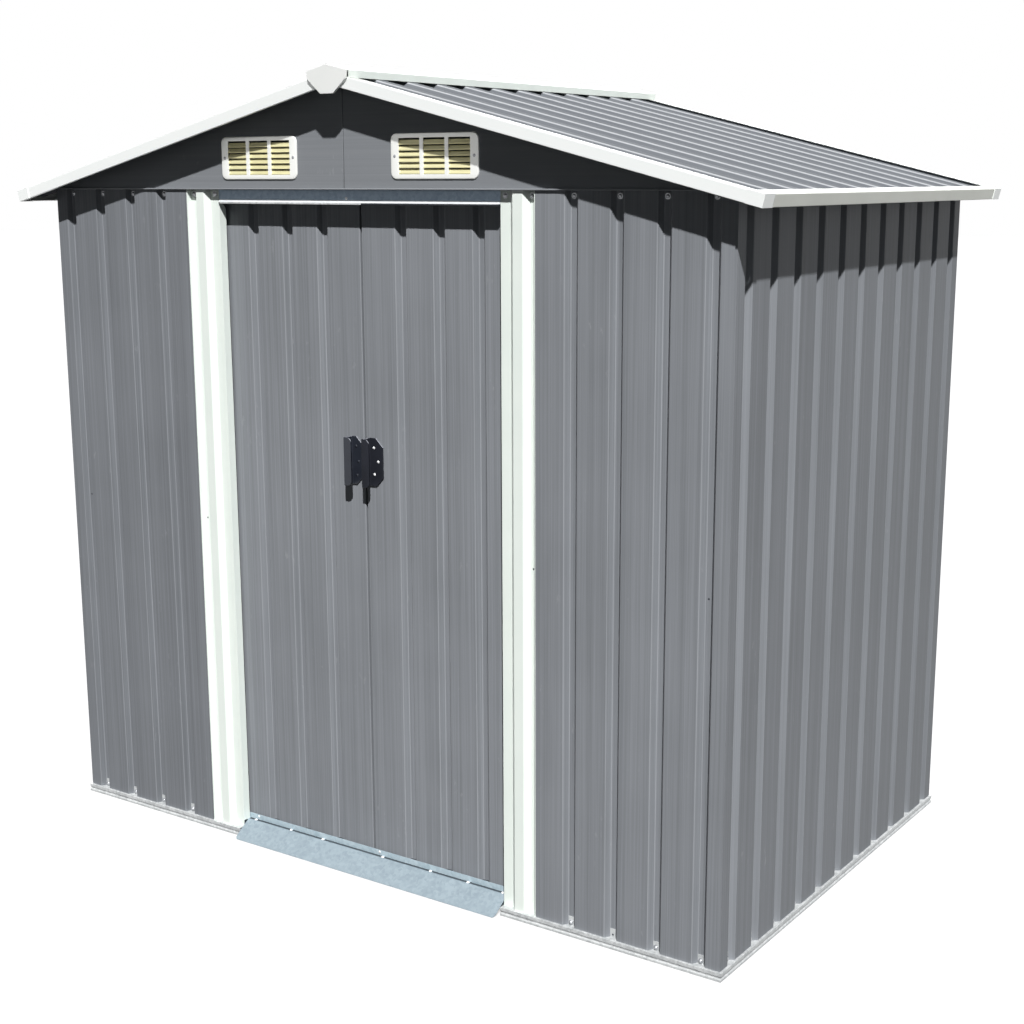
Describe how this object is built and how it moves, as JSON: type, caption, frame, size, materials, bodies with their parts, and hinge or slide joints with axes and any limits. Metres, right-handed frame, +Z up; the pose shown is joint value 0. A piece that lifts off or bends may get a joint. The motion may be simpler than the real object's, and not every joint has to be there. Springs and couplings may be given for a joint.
{
  "type": "metal storage shed",
  "caption": "Small gable-roofed storage shed of ribbed grey steel sheet with white trims, louvred gable vents, a galvanised base and paired sliding doors.",
  "frame": {"origin": "on the ground, in the middle of the shed's footprint box", "axes": "+X along the front to the right as seen from outside, +Y from the front to the back, +Z up"},
  "size_m": [2.0628, 1.3, 1.8547],
  "materials": {
    "grey_paint": "satin",
    "white_paint": "satin",
    "white_plastic": "satin",
    "cream_plastic": "satin",
    "galvanised": "spangled zinc",
    "nylon": "satin",
    "black_plastic": "satin"
  },
  "bodies": {
    "shed": {"back_gable_left": "grey_paint", "back_gable_right": "grey_paint", "back_rail": "galvanised", "back_top_rail": "galvanised", "back_vent_left": "cream_plastic", "back_vent_right": "cream_plastic", "back_verge_left": "white_paint", "back_verge_right": "white_paint", "back_wall": "grey_paint", "door_head_track": "galvanised", "door_ramp": "galvanised", "door_sill_track": "galvanised", "eave_corner_caps": "white_plastic", "front_gable_left": "grey_paint", "front_gable_right": "grey_paint", "front_left_wall": "grey_paint", "front_rail_left": "galvanised", "front_rail_right": "galvanised", "front_right_wall": "grey_paint", "front_vent_left": "cream_plastic", "front_vent_right": "cream_plastic", "front_verge_left": "white_paint", "front_verge_right": "white_paint", "left_eave_trim": "white_paint", "left_jamb": "white_paint", "left_rail": "galvanised", "left_top_rail": "galvanised", "left_wall": "grey_paint", "ridge_beam": "galvanised", "ridge_cap": "white_paint", "ridge_end_caps": "white_plastic", "right_eave_trim": "white_paint", "right_jamb": "white_paint", "right_rail": "galvanised", "right_top_rail": "galvanised", "right_wall": "grey_paint", "roof_left": "grey_paint", "roof_right": "grey_paint"},
    "left_door": {"left_door_panel": "grey_paint", "left_door_rails": "galvanised", "left_door_sliders": "nylon", "left_door_handle": "black_plastic"},
    "right_door": {"right_door_panel": "grey_paint", "right_door_rails": "galvanised", "right_door_sliders": "nylon", "right_door_handle": "black_plastic"}
  },
  "joints": [
    {"name": "left_door_slide", "type": "slide", "parent": "shed", "child": "left_door", "axis": [-1, 0, 0], "range_m": [0, 0.35]},
    {"name": "right_door_slide", "type": "slide", "parent": "shed", "child": "right_door", "axis": [1, 0, 0], "range_m": [0, 0.35]}
  ]
}
